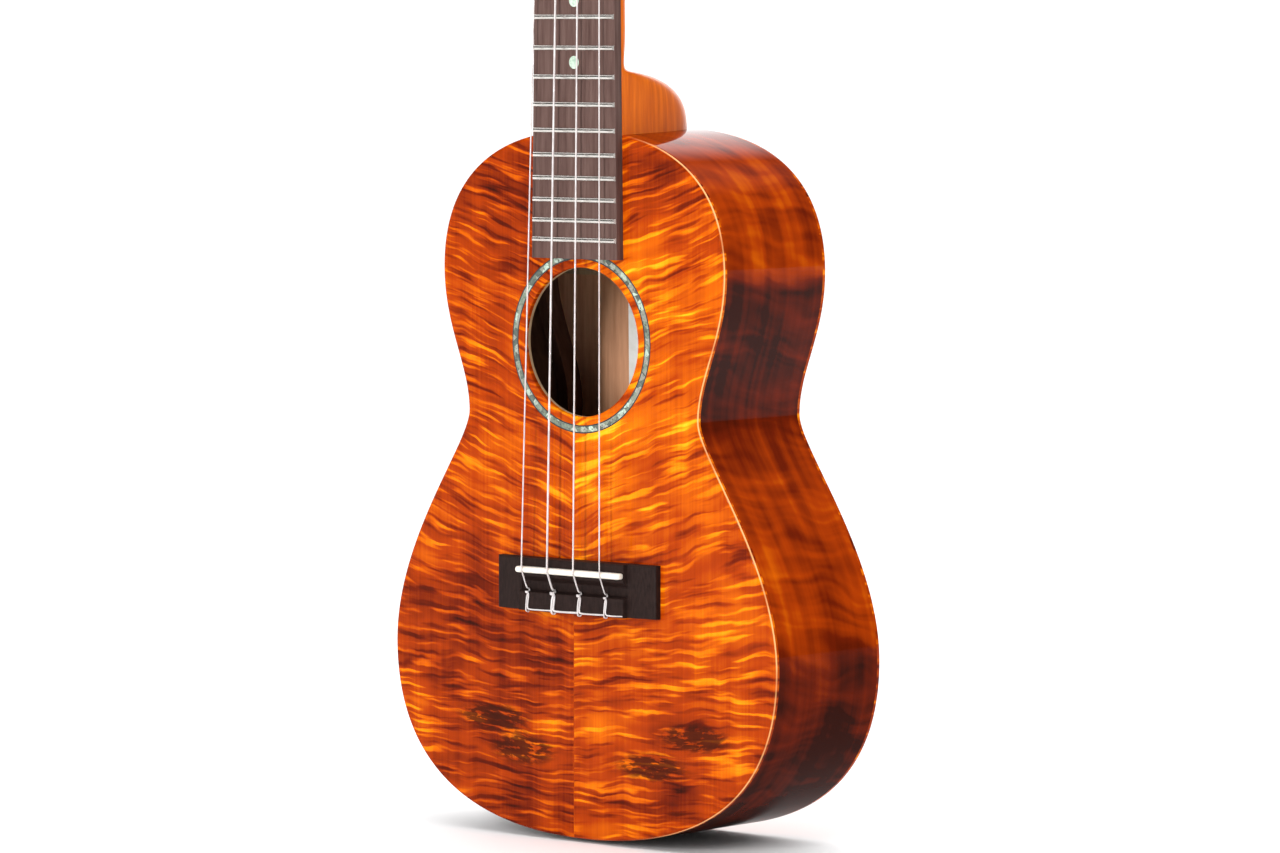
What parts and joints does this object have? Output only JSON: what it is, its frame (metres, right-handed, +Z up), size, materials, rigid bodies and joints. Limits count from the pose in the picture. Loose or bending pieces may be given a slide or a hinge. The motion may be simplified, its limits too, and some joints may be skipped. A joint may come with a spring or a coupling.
{
  "type": "concert ukulele",
  "caption": "Four-string concert ukulele with a flamed wood hollow body, round soundhole, fretted neck with deep heel, tie bridge and geared tuning keys.",
  "frame": {"origin": "at the tail, in the middle plane and midway between the strings over the saddle and the back", "axes": "+Z up the neck, -Y out of the soundboard towards the listener, +X towards the treble side"},
  "size_m": [0.197, 0.0756, 0.6071],
  "materials": {
    "koa_top": "gloss lacquer over flamed koa",
    "koa_sides": "gloss lacquer over flamed koa",
    "koa_back": "gloss lacquer over flamed koa",
    "koa_veneer": "gloss lacquer",
    "mahogany": "gloss lacquer",
    "inner_mahogany": "bare",
    "spruce": "bare",
    "rosewood": "oiled",
    "bridge_wood": "oiled",
    "bone": "polished bone",
    "pearl_dots": "polished pearl",
    "shell_inlay": "polished shell under lacquer",
    "black_line": "under lacquer",
    "fret_wire": "polished nickel silver",
    "paper": "blank paper",
    "string_nylon": "clear nylon",
    "key_buttons": "polished",
    "bolt_steel": "zinc plated",
    "wheel_brass": "machined",
    "tuner_chrome": "plated"
  },
  "bodies": {
    "instrument": {"back_bass": "koa_back", "back_braces": "spruce", "back_linings": "inner_mahogany", "back_seam_strip": "inner_mahogany", "back_treble": "koa_back", "blank_label": "paper", "bridge": "bridge_wood", "bridge_plate": "spruce", "fan_braces": "spruce", "fret_dots": "pearl_dots", "fretboard": "rosewood", "frets": "fret_wire", "headstock_veneer": "koa_veneer", "lower_cross_brace": "spruce", "neck": "mahogany", "neck_block": "inner_mahogany", "neck_bolt": "bolt_steel", "neck_insert": "bolt_steel", "neck_washer": "bolt_steel", "nut": "bone", "rib_bass": "koa_sides", "rib_treble": "koa_sides", "rosette_inner_line": "black_line", "rosette_outer_line": "black_line", "rosette_shell": "shell_inlay", "saddle": "bone", "side_dots": "pearl_dots", "soundboard_bass": "koa_top", "soundboard_treble": "koa_top", "soundhole_patch": "spruce", "string_a": "string_nylon", "string_c": "string_nylon", "string_e": "string_nylon", "string_g": "string_nylon", "tail_block": "inner_mahogany", "top_linings": "inner_mahogany", "tuner_bushings": "tuner_chrome", "tuner_covers": "tuner_chrome", "tuner_plates": "tuner_chrome", "tuner_screws": "tuner_chrome", "upper_cross_brace": "spruce"},
    "string_post_g": {"post_g": "tuner_chrome", "worm_wheel_g": "wheel_brass"},
    "tuning_key_g": {"worm_shaft_g": "tuner_chrome", "button_g": "key_buttons"},
    "string_post_c": {"post_c": "tuner_chrome", "worm_wheel_c": "wheel_brass"},
    "tuning_key_c": {"worm_shaft_c": "tuner_chrome", "button_c": "key_buttons"},
    "string_post_e": {"post_e": "tuner_chrome", "worm_wheel_e": "wheel_brass"},
    "tuning_key_e": {"worm_shaft_e": "tuner_chrome", "button_e": "key_buttons"},
    "string_post_a": {"post_a": "tuner_chrome", "worm_wheel_a": "wheel_brass"},
    "tuning_key_a": {"worm_shaft_a": "tuner_chrome", "button_a": "key_buttons"}
  },
  "joints": [
    {"name": "key_g_turn", "type": "hinge", "parent": "instrument", "child": "tuning_key_g", "pos_m": [-0.0165, -0.00278, 0.53096], "axis": [-1, 0, 0], "continuous": true},
    {"name": "post_g_turn", "type": "hinge", "parent": "instrument", "child": "string_post_g", "pos_m": [-0.0165, -0.02049, 0.52654], "axis": [0, -0.9781, 0.2079], "continuous": true},
    {"name": "key_c_turn", "type": "hinge", "parent": "instrument", "child": "tuning_key_c", "pos_m": [-0.0185, 0.00637, 0.57399], "axis": [-1, 0, 0], "continuous": true},
    {"name": "post_c_turn", "type": "hinge", "parent": "instrument", "child": "string_post_c", "pos_m": [-0.0185, -0.01134, 0.56958], "axis": [0, -0.9781, 0.2079], "continuous": true},
    {"name": "key_e_turn", "type": "hinge", "parent": "instrument", "child": "tuning_key_e", "pos_m": [0.0185, 0.00637, 0.57399], "axis": [1, 0, 0], "continuous": true},
    {"name": "post_e_turn", "type": "hinge", "parent": "instrument", "child": "string_post_e", "pos_m": [0.0185, -0.01134, 0.56958], "axis": [0, -0.9781, 0.2079], "continuous": true},
    {"name": "key_a_turn", "type": "hinge", "parent": "instrument", "child": "tuning_key_a", "pos_m": [0.0165, -0.00278, 0.53096], "axis": [1, 0, 0], "continuous": true},
    {"name": "post_a_turn", "type": "hinge", "parent": "instrument", "child": "string_post_a", "pos_m": [0.0165, -0.02049, 0.52654], "axis": [0, -0.9781, 0.2079], "continuous": true}
  ],
  "couplings": [
    {"joint": "key_g_turn", "follows": "post_g_turn", "ratio": -14},
    {"joint": "key_c_turn", "follows": "post_c_turn", "ratio": -14},
    {"joint": "key_e_turn", "follows": "post_e_turn", "ratio": 14},
    {"joint": "key_a_turn", "follows": "post_a_turn", "ratio": 14}
  ]
}
